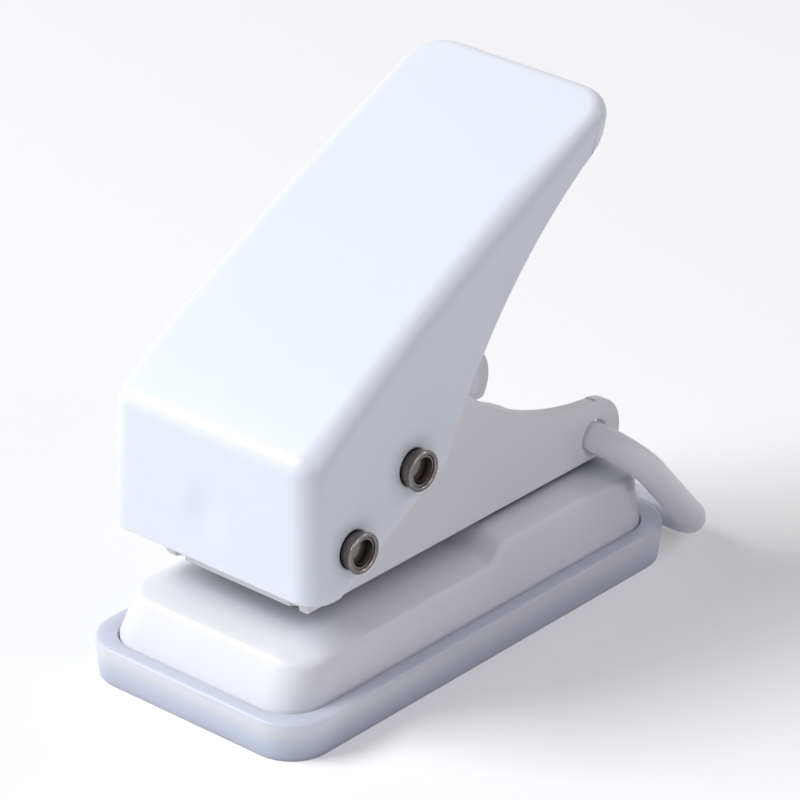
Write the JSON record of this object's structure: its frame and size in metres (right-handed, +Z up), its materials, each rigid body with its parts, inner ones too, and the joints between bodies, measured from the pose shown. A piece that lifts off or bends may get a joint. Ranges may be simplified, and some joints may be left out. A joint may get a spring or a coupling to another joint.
{
  "type": "single hole punch",
  "caption": "Small desk hole punch with a sloping moulded lever, a riveted channel frame over a hollow base, a clear chip tray and a swinging lock bail.",
  "frame": {"origin": "middle of the tray's underside, on the table", "axes": "+Z up; -Y to the front, where the paper goes in; X along the hinge"},
  "size_m": [0.044, 0.0874, 0.0736],
  "materials": {
    "lever_plastic": "bluish white moulding with a soft gloss",
    "white_enamel": "white enamel on pressed steel sheet",
    "clear_plastic": "translucent soft plastic, milky and slightly blue",
    "dark_nickel": "dark nickel plate",
    "tool_steel": "bright ground steel",
    "bail_plastic": "smooth bluish white plastic"
  },
  "bodies": {
    "body": {"base": "white_enamel", "frame": "white_enamel", "pivot_rivet": "dark_nickel", "frame_rivets": "tool_steel"},
    "lever": {"lever": "lever_plastic", "drive_rivet": "dark_nickel"},
    "punch": {"punch_pin": "tool_steel", "retaining_clip": "dark_nickel", "spring_washer": "tool_steel", "punch_spring": "tool_steel"},
    "bail": {"lock_bail": "bail_plastic"},
    "tray": {"chip_tray": "clear_plastic"}
  },
  "joints": [
    {"name": "lever_press", "type": "hinge", "parent": "body", "child": "lever", "pos_m": [0, -0.0277, 0.0276], "axis": [-1, 0, 0], "range_deg": [0, 35], "stiffness_Nm_per_rad": 0.27, "springref_deg": -17.19},
    {"name": "punch_slide", "type": "slide", "parent": "body", "child": "punch", "axis": [0, 0, -1], "range_m": [0, 0.0082], "deforming": ["punch_spring"]},
    {"name": "bail_swing", "type": "hinge", "parent": "body", "child": "bail", "pos_m": [0, 0.0293, 0.0201], "axis": [1, 0, 0], "range_deg": [0, 135]},
    {"name": "tray_slide", "type": "slide", "parent": "body", "child": "tray", "axis": [0, 0, -1], "range_m": [0, 0.015]}
  ],
  "couplings": [
    {"joint": "punch_slide", "follows": "lever_press", "m_per_rad": 0.013385}
  ]
}
